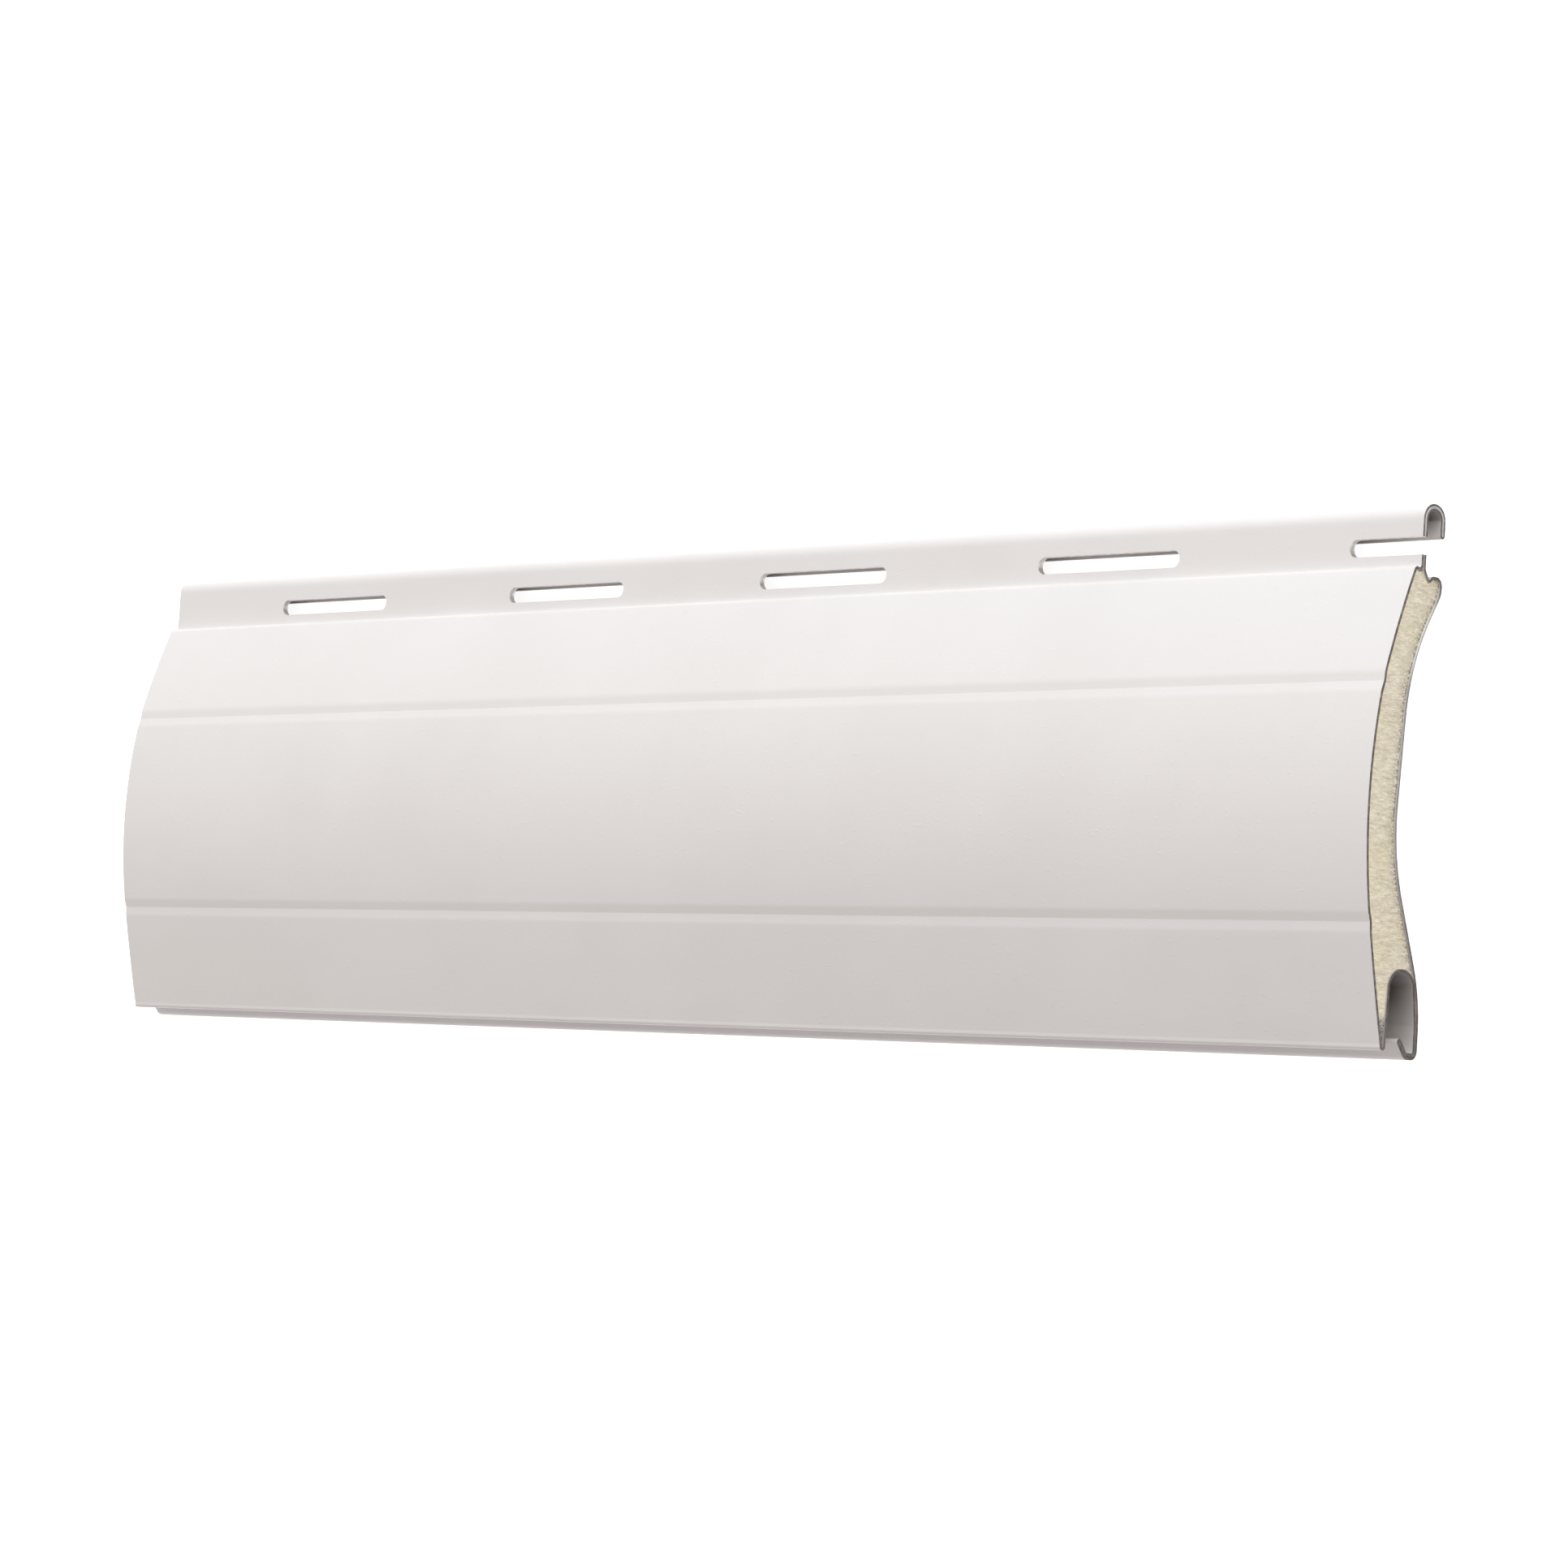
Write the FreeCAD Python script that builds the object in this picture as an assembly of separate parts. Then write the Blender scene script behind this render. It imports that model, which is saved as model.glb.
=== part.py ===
import FreeCAD, Part
import math
import os

# Roller shutter slat, a cut length of the common 45 x 9 mm foam-filled size.
# One painted aluminium strip is rolled into a closed curved section: a hook on top,
# a two-sheet neck with slots, a crowned front skin with two bead grooves, a thin foot,
# a rear channel that holds the next slat's hook, and a hollow back skin.
# Polyurethane foam fills the space between the front and the back skin.
#
# Millimetres. X runs along the slat, Y across it from the foot to the hook, and Z is up,
# out of the painted front. The slat lies on its back, so Z = 0 touches the hook's leg,
# the bead behind the neck and the back wall of the channel. The origin is in that plane,
# under the middle of the slat's length and width.
#
# The section is drawn on the strip's painted face, which is always on the left of the
# line. A place in it is (height, depth): height from the foot towards the hook, and
# depth out of the plane Z = 0.

# Length
slat_length = 188.5

# Slots in the neck
slot_pitch = 40.0
slot_length = 18.7
slot_width = 1.7
first_slot_start = 19.8
slot_above_shoulder = 1.1

# Strip and foam
sheet = 0.3
fold_gap = 0.05
foam_clearance = 0.03

# Front skin. A drop is measured down from the cover height.
cover_height = 45.0
slat_thickness = 9.0
crown_rise = 1.13
crown_offset = 0.35
lower_band_bow = 0.07
upper_band_bow = 0.15
band_run = 0.6
shoulder_depth = 3.97
shoulder_radius = 0.45
shoulder_fall = 0.2

# Bead grooves pressed into the front skin
lower_groove_height = 11.6
upper_groove_drop = 11.1
groove_width = 1.8
groove_depth = 0.12
groove_edge_radius = 2.8
groove_root_radius = 0.5
groove_run = 0.4

# Neck and hook
neck_back = 2.52
neck_root_radius = 0.25
hook_rise = 6.0
hook_leg = 3.15
hook_flat = 0.1

# Bead behind the neck
flare_drop = 0.25
flare_radius = 0.5
notch_drop = 1.2
notch_depth = 1.93
notch_radius = 0.14
bead_drop = 0.75
bead_nose = 1.48
bead_nose_radius = 0.5
bead_radius = 0.85
bead_foot_radius = 2.0

# Back skin: two straight flanks and a shallow middle, joined by wide bends
upper_flank_drop = 2.35
upper_bend_drop = 9.3
upper_bend_depth = 3.9
upper_bend_radius = 21.5
lower_bend_height = 18.1
lower_bend_depth = 4.9
lower_bend_radius = 21.5
lower_flank_foot = 5.2
lower_flank_radius = 17.0

# Foot
foot_front = 5.38
foot_gap = 0.15
foot_rise = 0.8
foot_lean = 0.04
foot_bend_radius = 1.5

# Rear channel, its lip and the two edges of the strip
channel_top = 7.3
channel_lean = 0.29
arch_back = 1.27
arch_flat = 0.05
channel_bottom = -0.65
lip_bend_radius = 0.2
lip_bend_depth = 1.85
lip_angle = 37.5
lip_length = 2.05
arch_leg_end = 2.65
hem_leg_end = 2.6

# Two sheets folded flat against each other, and the outer radius of that fold
fold = 2 * sheet + fold_gap
fold_radius = fold / 2


def unit(start, end):
    """Direction from one place to another."""
    run = end[0] - start[0]
    rise = end[1] - start[1]
    size = math.hypot(run, rise)
    return (run / size, rise / size)


def along(place, direction, distance):
    """Place at a distance from another one."""
    return (place[0] + direction[0] * distance, place[1] + direction[1] * distance)


def meet(place_a, slope_a, place_b, slope_b):
    """Corner where two straight legs with the given slopes would meet."""
    gap = place_b[1] - place_a[1] + slope_a * place_a[0] - slope_b * place_b[0]
    height = gap / (slope_a - slope_b)
    return (height, place_a[1] + slope_a * (height - place_a[0]))


def bend_line(corners):
    """Turn corners (height, depth, radius) into straight runs joined by tangent arcs.

    Each step is (start, end, centre, side). centre is None on a straight run, and side is
    1 where the line turns left and -1 where it turns right.
    """
    steps = []
    here = corners[0][:2]
    for before, corner, after in zip(corners, corners[1:], corners[2:]):
        arrive = unit(before, corner)
        leave = unit(corner, after)
        cross = arrive[0] * leave[1] - arrive[1] * leave[0]
        turn = math.atan2(cross, arrive[0] * leave[0] + arrive[1] * leave[1])
        side = 1 if turn > 0 else -1
        radius = corner[2]
        reach = radius * math.tan(abs(turn) / 2)
        entry = along(corner, arrive, -reach)
        departure = along(corner, leave, reach)
        centre = along(entry, (-arrive[1], arrive[0]), side * radius)
        steps.append((here, entry, None, 0))
        steps.append((entry, departure, centre, side))
        here = departure
    steps.append((here, corners[-1][:2], None, 0))
    return [step for step in steps if math.dist(step[0], step[1]) > 1e-6]


def at_end(place):
    """A place of the section as a point in the plane X = 0."""
    return FreeCAD.Vector(0, place[0], place[1])


def offset_runs(steps, depth):
    """Points of each step moved by depth to its right, which is into the strip.

    A straight run has two points and an arc has three.
    """
    runs = []
    for start, end, centre, side in steps:
        if centre is None:
            way = unit(start, end)
            inward = (way[1], -way[0])
            runs.append([along(start, inward, depth), along(end, inward, depth)])
            continue
        radius = math.dist(centre, start) + side * depth
        halfway = ((start[0] + end[0]) / 2, (start[1] + end[1]) / 2)
        runs.append([along(centre, unit(centre, place), radius) for place in (start, halfway, end)])
    return runs


def backwards(runs):
    """The same runs walked the other way."""
    return [run[::-1] for run in reversed(runs)]


def extruded(runs):
    """Closed profile through the runs, with straight lines over the gaps, carried along X."""
    edges = []
    for run, following in zip(runs, runs[1:] + runs[:1]):
        points = [at_end(place) for place in run]
        shape = Part.Arc(*points) if len(points) == 3 else Part.LineSegment(*points)
        edges.append(shape.toShape())
        if math.dist(run[-1], following[0]) > 1e-6:
            edges.append(Part.LineSegment(at_end(run[-1]), at_end(following[0])).toShape())
    face = Part.Face(Part.Wire(edges))
    return face.extrude(FreeCAD.Vector(slat_length, 0, 0))


def crown_arc():
    """Height of the crown's top, a little below the middle between the grooves, and its radius."""
    half = (cover_height - upper_groove_drop - lower_groove_height) / 2
    radius = (half ** 2 + crown_rise ** 2) / (2 * crown_rise)
    return (lower_groove_height + half - crown_offset, radius)


def crown_place(across):
    """Place on the crowned front skin at a distance above or below its top."""
    top, radius = crown_arc()
    return (top + across, slat_thickness - radius + math.sqrt(radius ** 2 - across ** 2))


def crown_slope(across):
    """Slope of the crowned front skin at a distance above or below its top."""
    radius = crown_arc()[1]
    return -across / math.sqrt(radius ** 2 - across ** 2)


def groove_corners(across):
    """Three corners of the bead groove that is centred at a distance from the crown's top."""
    lower = crown_place(across - groove_width / 2)
    upper = crown_place(across + groove_width / 2)
    way = unit(lower, upper)
    middle = ((lower[0] + upper[0]) / 2, (lower[1] + upper[1]) / 2)
    root = along(middle, (way[1], -way[0]), groove_depth)
    return [lower + (groove_edge_radius,), root + (groove_root_radius,), upper + (groove_edge_radius,)]


def arch_corners():
    """The strip's first edge, the arch over the channel and the channel's front wall."""
    wall_foot = foot_front - 2 * sheet - foot_gap
    wall_top = wall_foot - channel_lean
    arch_radius = (wall_top - arch_back - arch_flat) / 2
    foot_radius = (foot_front - wall_foot) / 2 - fold_gap / 2
    return [
        (arch_leg_end, fold),
        (channel_top, arch_back, arch_radius),
        (channel_top, wall_top, arch_radius),
        (0.0, wall_foot, foot_radius),
        (0.0, foot_front, foot_radius),
    ]


def bowed(lower, upper, bow):
    """Corner of the one wide bend that makes the skin between two places stand out by bow."""
    way = unit(lower, upper)
    half = math.dist(lower, upper) / 2
    middle = ((lower[0] + upper[0]) / 2, (lower[1] + upper[1]) / 2)
    corner = along(middle, (-way[1], way[0]), 2 * bow)
    half_turn = math.atan(2 * bow / half)
    leg = math.hypot(half, 2 * bow)
    return corner + ((leg - band_run) / math.tan(half_turn),)


def front_corners():
    """Front skin from the foot's bend over both grooves to the shoulder."""
    foot_bend = (foot_rise, foot_front + foot_lean)
    shoulder = (cover_height, shoulder_depth)
    top, radius = crown_arc()
    below = lower_groove_height - top
    above = cover_height - upper_groove_drop - top
    lower_groove = groove_corners(below)
    upper_groove = groove_corners(above)
    low = below + groove_width / 2 + groove_run
    high = above - groove_width / 2 - groove_run
    crown = meet(crown_place(low), crown_slope(low), crown_place(high), crown_slope(high))
    return [
        foot_bend + (foot_bend_radius,),
        bowed(foot_bend, lower_groove[0][:2], lower_band_bow),
        *lower_groove,
        crown + (radius,),
        *upper_groove,
        bowed(upper_groove[2][:2], shoulder, upper_band_bow),
        shoulder + (shoulder_radius,),
    ]


def hook_corners():
    """Neck front, hook over and back inside itself, and the neck's rear sheet."""
    neck_front = neck_back + fold
    hook_top = cover_height + hook_rise
    leg_end = hook_top - hook_leg
    outer_radius = (neck_front - hook_flat) / 2
    inner_radius = (neck_back - fold - hook_flat) / 2
    return [
        (cover_height - shoulder_fall, neck_front, neck_root_radius),
        (hook_top, neck_front, outer_radius),
        (hook_top, 0.0, outer_radius),
        (leg_end, 0.0, fold_radius),
        (leg_end, fold, fold_radius),
        (hook_top - fold, fold, inner_radius),
        (hook_top - fold, neck_back, inner_radius),
        (cover_height - flare_drop, neck_back, flare_radius),
    ]


def back_corners():
    """Notch and bead behind the neck, then the hollow back skin down to the channel."""
    bead_top = cover_height - bead_drop
    return [
        (cover_height - notch_drop, notch_depth, notch_radius),
        (bead_top, bead_nose, bead_nose_radius),
        (bead_top, 0.0, bead_radius),
        (cover_height - upper_flank_drop, 0.0, bead_foot_radius),
        (cover_height - upper_bend_drop, upper_bend_depth, upper_bend_radius),
        (lower_bend_height, lower_bend_depth, lower_bend_radius),
        (lower_flank_foot, 0.0, lower_flank_radius),
    ]


def lip_corners():
    """Channel bottom, lip, the hem at its tip and the strip's second edge."""
    angle = math.radians(lip_angle)
    rise = (math.cos(angle), math.sin(angle))
    outer_radius = lip_bend_radius + fold
    bend = (channel_bottom, lip_bend_depth)
    tip = along(bend, rise, lip_length)
    inner_tip = along(tip, (rise[1], -rise[0]), fold)
    floor = channel_bottom + fold
    inner_bend = along(inner_tip, rise, -(inner_tip[0] - floor) / rise[0])
    return [
        (channel_bottom, 0.0, outer_radius),
        bend + (outer_radius,),
        tip + (fold_radius,),
        inner_tip + (fold_radius,),
        inner_bend + (lip_bend_radius,),
        (floor, fold, lip_bend_radius),
        (hem_leg_end, fold),
    ]


def slot_cutter(start):
    """Round-ended bar that punches one slot through both sheets of the neck."""
    radius = slot_width / 2
    low = cover_height + slot_above_shoulder
    left = start + radius
    right = start + slot_length - radius
    behind = neck_back - sheet
    depth = fold + 2 * sheet
    bar = Part.makeBox(right - left, slot_width, depth, FreeCAD.Vector(left, low, behind))
    for centre in (left, right):
        end = Part.makeCylinder(radius, depth, FreeCAD.Vector(centre, low + radius, behind))
        bar = bar.fuse(end)
    return bar


def neck_slots():
    """All slots at the pitch, also the last one that the saw cut has opened."""
    punched = int((slat_length - first_slot_start) / slot_pitch) + 1
    return [slot_cutter(first_slot_start + number * slot_pitch) for number in range(punched)]


def aluminium_skin():
    """The rolled strip, from its edge in the arch to its edge in the hem, with the slots."""
    corners = arch_corners() + front_corners() + hook_corners() + back_corners() + lip_corners()
    section = bend_line(corners)
    skin = extruded(offset_runs(section, 0.0) + backwards(offset_runs(section, sheet)))
    return skin.cut(neck_slots())


def foam_core():
    """The foam between the front and the back skin, from the neck's root to the foot."""
    depth = sheet + foam_clearance
    arch = arch_corners()
    hook = hook_corners()
    wall_foot, front_foot = arch[3:]
    neck_root = hook[0][:2]
    flare = hook[-1][:2]
    front = bend_line([wall_foot[:2], front_foot] + front_corners() + [neck_root])
    back = bend_line([flare] + back_corners() + [(0.0, 0.0)])
    core = extruded(offset_runs(front, depth) + offset_runs(back, depth))
    leg_foot = along(arch[0], unit(arch[1], arch[0]), arch_leg_end)
    below_foot = along(wall_foot[:2], unit(arch[2][:2], wall_foot[:2]), fold)
    channel = extruded(offset_runs(bend_line([leg_foot] + arch[1:3] + [below_foot]), depth))
    arch_middle = (arch[1][1] + arch[2][1]) / 2
    seam = Part.makeBox(slat_length, channel_top + fold, arch_middle, FreeCAD.Vector(0, -fold, 0))
    return core.cut([channel, seam])


def centred(shape):
    """The shape moved so that the origin is under the middle of the slat."""
    middle = (channel_bottom + cover_height + hook_rise) / 2
    return shape.translated(FreeCAD.Vector(-slat_length / 2, -middle, 0))


os.makedirs("parts", exist_ok=True)
pieces = {"aluminium_skin": aluminium_skin(), "foam_core": foam_core()}
for name, shape in pieces.items():
    solid = centred(shape).Solids[0]
    solid.exportStep("parts/" + name + ".step")
    box = solid.BoundBox
    print(name, "volume", round(solid.Volume, 1), "valid", solid.isValid(), "solids", len(shape.Solids))
    print("  X", round(box.XMin, 2), round(box.XMax, 2), "Y", round(box.YMin, 2), round(box.YMax, 2),
          "Z", round(box.ZMin, 2), round(box.ZMax, 2))
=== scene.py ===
# %% [markdown]
# # A roller shutter slat in its finished looks
# The slat is a strip of painted aluminium, rolled into a closed curved section and filled
# with foam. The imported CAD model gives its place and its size. This lesson loads that model
# first, so that every piece made here can be laid over it with no fitting.

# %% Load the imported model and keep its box
import math

import bmesh
import bpy
import numpy as np
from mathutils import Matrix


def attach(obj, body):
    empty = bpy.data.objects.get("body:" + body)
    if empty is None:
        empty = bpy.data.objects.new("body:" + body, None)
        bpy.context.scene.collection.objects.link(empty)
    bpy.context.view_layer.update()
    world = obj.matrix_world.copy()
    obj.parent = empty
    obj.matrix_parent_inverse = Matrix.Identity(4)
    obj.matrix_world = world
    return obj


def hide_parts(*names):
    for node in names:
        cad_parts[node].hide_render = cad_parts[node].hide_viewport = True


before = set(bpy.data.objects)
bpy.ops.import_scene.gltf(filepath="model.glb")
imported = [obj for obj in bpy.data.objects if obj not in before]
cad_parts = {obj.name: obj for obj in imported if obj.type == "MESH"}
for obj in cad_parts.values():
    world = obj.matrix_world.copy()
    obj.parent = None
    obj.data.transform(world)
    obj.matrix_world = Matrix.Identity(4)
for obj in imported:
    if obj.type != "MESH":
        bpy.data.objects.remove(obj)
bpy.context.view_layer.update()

MM = 0.001

# %% [markdown]
# ## The section's sizes
# The real slat is roll-formed: each bend has its own radius and the straights between them
# are what is left over. It could be drawn as a smooth curve through points, but then no
# radius would be true. So the section is kept as corners with a radius each, from the same
# named sizes as the CAD source. A place in it is (height, depth): height from the foot
# towards the hook, depth out of the plane that the slat lies on. All sizes are millimetres.
#
# Four sizes differ a little from the source, for the looks. The arch's leg brings the
# strip's first edge closer to its second, so that no dark slit shows between them. The
# foot's rise, lean and bend radius make the bend above it sharper, which narrows the bright
# line on it. They move the surface by less than a tenth of a millimetre.

# %% Sizes of the slat, its slots, front skin, neck and hook
slat_length = 188.5
# Slots in the neck
slot_pitch = 40.0
slot_length = 18.7
slot_width = 1.7
first_slot_start = 19.8
slot_above_shoulder = 1.1
# Strip and foam
sheet = 0.3
fold_gap = 0.05
foam_clearance = 0.03
# Front skin
cover_height = 45.0
slat_thickness = 9.0
crown_rise = 1.13
crown_offset = 0.35
lower_band_bow = 0.07
upper_band_bow = 0.15
band_run = 0.6
shoulder_depth = 3.97
shoulder_radius = 0.45
shoulder_fall = 0.2
# Bead grooves
lower_groove_height = 11.6
upper_groove_drop = 11.1
groove_width = 1.8
groove_depth = 0.12
groove_edge_radius = 2.8
groove_root_radius = 0.5
groove_run = 0.4
# Neck and hook
neck_back = 2.52
neck_root_radius = 0.25
hook_rise = 6.0
hook_leg = 3.15
hook_flat = 0.1
print("slat in mm:", slat_length, "long,", cover_height, "of cover,", slat_thickness, "deep")

# %% Sizes of the bead, the back skin, the foot and the channel
flare_drop = 0.25
flare_radius = 0.5
notch_drop = 1.2
notch_depth = 1.93
notch_radius = 0.14
bead_drop = 0.75
bead_nose = 1.48
bead_nose_radius = 0.5
bead_radius = 0.85
bead_foot_radius = 2.0
# Back skin
upper_flank_drop = 2.35
upper_bend_drop = 9.3
upper_bend_depth = 3.9
upper_bend_radius = 21.5
lower_bend_height = 18.1
lower_bend_depth = 4.9
lower_bend_radius = 21.5
lower_flank_foot = 5.2
lower_flank_radius = 17.0
# Foot
foot_front = 5.38
foot_gap = 0.15
foot_rise = 0.55
foot_lean = 0.06
foot_bend_radius = 1.2
# Channel, lip and the strip's two edges
channel_top = 7.3
channel_lean = 0.29
channel_bottom = -0.65
arch_back = 1.27
arch_flat = 0.05
arch_leg_end = 2.605
hem_leg_end = 2.6
lip_bend_radius = 0.2
lip_bend_depth = 1.85
lip_angle = math.radians(37.5)
lip_length = 2.05
# A fold of two sheets, and the ends of the section
fold = 2 * sheet + fold_gap
fold_radius = fold / 2
hook_top = cover_height + hook_rise
section_middle = (channel_bottom + hook_top) / 2
print("section from", channel_bottom, "to", hook_top, "mm, strip", sheet, "mm")


# %% Corners of the front skin: height, depth and bend radius
def way_between(start, end):
    """Unit direction from one place of the section to another."""
    gap = np.subtract(end, start)
    return gap / np.hypot(*gap)


def crown():
    """Height of the crown's top and its radius, from how far it rises between the grooves."""
    half = (cover_height - upper_groove_drop - lower_groove_height) / 2
    radius = (half ** 2 + crown_rise ** 2) / (2 * crown_rise)
    return lower_groove_height + half - crown_offset, radius


def on_crown(across):
    """Circle of the crown: height, depth and slope at a distance from its top."""
    top, radius = crown()
    drop = math.sqrt(radius ** 2 - across ** 2)
    return (top + across, slat_thickness - radius + drop), -across / drop


def groove(across):
    """Two flanks that meet at a root, below the chord between the groove's edges."""
    lower = on_crown(across - groove_width / 2)[0]
    upper = on_crown(across + groove_width / 2)[0]
    way = way_between(lower, upper)
    root = np.add(lower, upper) / 2 + groove_depth * np.array([way[1], -way[0]])
    return [(*lower, groove_edge_radius), (*root, groove_root_radius), (*upper, groove_edge_radius)]


def bow(lower, upper, height):
    """Corner of the one wide bend that makes a band stand out from its chord."""
    way = way_between(lower, upper)
    half = math.dist(lower, upper) / 2
    corner = np.add(lower, upper) / 2 + 2 * height * np.array([-way[1], way[0]])
    return (*corner, (math.hypot(half, 2 * height) - band_run) / (2 * height / half))


def front_corners():
    """Foot, lower band, groove, crown, groove, upper band and shoulder."""
    top, radius = crown()
    below = lower_groove_height - top
    above = cover_height - upper_groove_drop - top
    margin = groove_width / 2 + groove_run
    (low, low_slope), (high, high_slope) = on_crown(below + margin), on_crown(above - margin)
    gap = high[1] - low[1] + low_slope * low[0] - high_slope * high[0]
    peak_height = gap / (low_slope - high_slope)
    peak = (peak_height, low[1] + low_slope * (peak_height - low[0]), radius)
    foot = (foot_rise, foot_front + foot_lean)
    shoulder = (cover_height, shoulder_depth)
    first, last = groove(below), groove(above)
    lower_band = bow(foot, first[0][:2], lower_band_bow)
    upper_band = bow(last[2][:2], shoulder, upper_band_bow)
    return [(*foot, foot_bend_radius), lower_band, *first, peak, *last, upper_band,
            (*shoulder, shoulder_radius)]


print("crown top and radius in mm:", [round(v, 2) for v in crown()])


# %% Corners of the arch and the hook
def arch_corners():
    """The strip's first edge, the arch over the channel, its front wall and the thin foot."""
    wall_foot = foot_front - fold - foot_gap + fold_gap
    wall_top = wall_foot - channel_lean
    arch_radius = (wall_top - arch_back - arch_flat) / 2
    foot_radius = (foot_front - wall_foot - fold_gap) / 2
    return [
        (arch_leg_end, fold, 0), (channel_top, arch_back, arch_radius),
        (channel_top, wall_top, arch_radius),
        (0.0, wall_foot, foot_radius), (0.0, foot_front, foot_radius),
    ]


def hook_corners():
    """Up the neck's front sheet, over and back inside the hook, down the neck's rear sheet."""
    neck_front = neck_back + fold
    leg_end = hook_top - hook_leg
    outer = (neck_front - hook_flat) / 2
    inner = (neck_back - fold - hook_flat) / 2
    return [
        (cover_height - shoulder_fall, neck_front, neck_root_radius),
        (hook_top, neck_front, outer), (hook_top, 0.0, outer),
        (leg_end, 0.0, fold_radius), (leg_end, fold, fold_radius),
        (hook_top - fold, fold, inner), (hook_top - fold, neck_back, inner),
        (cover_height - flare_drop, neck_back, flare_radius),
    ]


print("corners of arch and hook:", len(arch_corners()), len(hook_corners()))


# %% Corners of the back skin and the lip, and all parts in order
def back_corners():
    """Notch and bead behind the neck, then two flanks and a shallow middle."""
    bead_top = cover_height - bead_drop
    return [
        (cover_height - notch_drop, notch_depth, notch_radius),
        (bead_top, bead_nose, bead_nose_radius),
        (bead_top, 0.0, bead_radius),
        (cover_height - upper_flank_drop, 0.0, bead_foot_radius),
        (cover_height - upper_bend_drop, upper_bend_depth, upper_bend_radius),
        (lower_bend_height, lower_bend_depth, lower_bend_radius),
        (lower_flank_foot, 0.0, lower_flank_radius),
    ]


def lip_corners():
    """Channel bottom, lip, the hem round its tip and the strip's second edge."""
    rise = np.array([math.cos(lip_angle), math.sin(lip_angle)])
    outer = lip_bend_radius + fold
    bend = np.array([channel_bottom, lip_bend_depth])
    tip = bend + lip_length * rise
    inner_tip = tip + fold * np.array([rise[1], -rise[0]])
    floor = channel_bottom + fold
    inner_bend = inner_tip - rise * (inner_tip[0] - floor) / rise[0]
    return [
        (channel_bottom, 0.0, outer), (*bend, outer), (*tip, fold_radius),
        (*inner_tip, fold_radius), (*inner_bend, lip_bend_radius),
        (floor, fold, lip_bend_radius), (hem_leg_end, fold, 0),
    ]


parts = [arch_corners(), front_corners(), hook_corners(), back_corners(), lip_corners()]
strip_corners = sum(parts, [])
corner_part = np.repeat(["arch", "front", "hook", "back", "lip"], [len(part) for part in parts])
print("bends in the strip:", len(strip_corners) - 2)

# %% [markdown]
# ## From corners to a smooth line
# A bend is an arc that touches both its legs, so its reach along each leg is the radius times
# the tangent of half the turn. The line comes out as arrays: places, and the direction into
# the strip at each place. Moving every place by the strip's thickness in that direction gives
# the strip's other face exactly, because arcs only change their radius.

# %% Rows along a straight leg
slot_centre = cover_height + slot_above_shoulder + slot_width / 2
neck_low = cover_height + 0.35
neck_high = slot_centre + 2.1
rows_below_slot, rows_above_slot = 6, 7
leg_spacing, arc_spacing, arc_turn = 1.3, 0.9, math.radians(11)


def straight_rows(start, end):
    """Places along a straight leg. A leg of the neck gets its slot's centre line twice."""
    low, high = sorted((start[0], end[0]))
    if low < neck_low and high > neck_high and start[1] < shoulder_depth:
        below = np.linspace(neck_low, slot_centre, rows_below_slot)
        above = np.linspace(slot_centre, neck_high, rows_above_slot)
        rising = np.r_[low, below, above, high]
        heights = rising if end[0] > start[0] else rising[::-1]
        return np.column_stack([heights, np.full(len(heights), start[1])])
    count = max(2, math.ceil(math.dist(start, end) / leg_spacing) + 1)
    return np.linspace(start, end, count)


print("slots centred at", slot_centre, "mm, rows moved from", neck_low, "to", round(neck_high, 2))


# %% The bend line as arrays
def bend_line(corners):
    """Straight legs joined by arcs: places, unit directions into the strip, and corner numbers."""
    places, inward, number = [], [], []
    here = np.array(corners[0][:2])
    for before, corner, after in zip(corners, corners[1:], corners[2:] + [None]):
        at = np.array(corner[:2])
        arrive = way_between(before[:2], at)
        leave = way_between(at, after[:2]) if after else arrive
        turn = math.atan2(arrive[0] * leave[1] - arrive[1] * leave[0], arrive @ leave)
        reach = corner[2] * math.tan(abs(turn) / 2)
        leg = straight_rows(here, at - reach * arrive)
        places.append(leg)
        inward.append(np.tile([arrive[1], -arrive[0]], (len(leg), 1)))
        number.append(np.full(len(leg), corners.index(corner)))
        here = at + reach * leave
        if abs(turn) < 1e-6:
            continue
        side = math.copysign(1, turn)
        centre = leg[-1] + side * corner[2] * np.array([-arrive[1], arrive[0]])
        steps = max(3, math.ceil(abs(turn) / arc_turn), math.ceil(abs(turn) * corner[2] / arc_spacing))
        angle = np.linspace(0, turn, steps + 1)[1:]
        radial = (leg[-1] - centre)[:, None]
        turned = np.array([np.cos(angle) * radial[0] - np.sin(angle) * radial[1],
                           np.sin(angle) * radial[0] + np.cos(angle) * radial[1]]).T
        places.append(centre + turned)
        inward.append(side * turned / corner[2])
        number.append(np.full(steps, corners.index(corner)))
    places, inward, number = np.vstack(places), np.vstack(inward), np.concatenate(number)
    same = np.hypot(*np.diff(places, axis=0).T) < 1e-6
    keep = np.r_[True, ~same | (np.abs(places[1:, 0] - slot_centre) < 1e-9)]
    return places[keep], inward[keep], number[keep]


strip_line, strip_inward, strip_corner = bend_line(strip_corners)
strip_part = corner_part[strip_corner]
strip_run = np.hypot(*np.diff(strip_line, axis=0).T).sum()
print("strip line rows:", len(strip_line), "flat width of the strip in mm:", round(strip_run, 1))

# %% [markdown]
# ## Slots without cutting
# The neck is two sheets folded flat, and a row of slots with round ends is punched through
# both. A Boolean would cut them but leaves long thin faces. Here the grid opens like a
# zip: the row on the slot's centre line is there twice, and each copy moves away from
# the centre by the slot's half height, which is a half circle at the ends and constant
# between them. Rows further off move in proportion, so the faces stay even.

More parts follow.
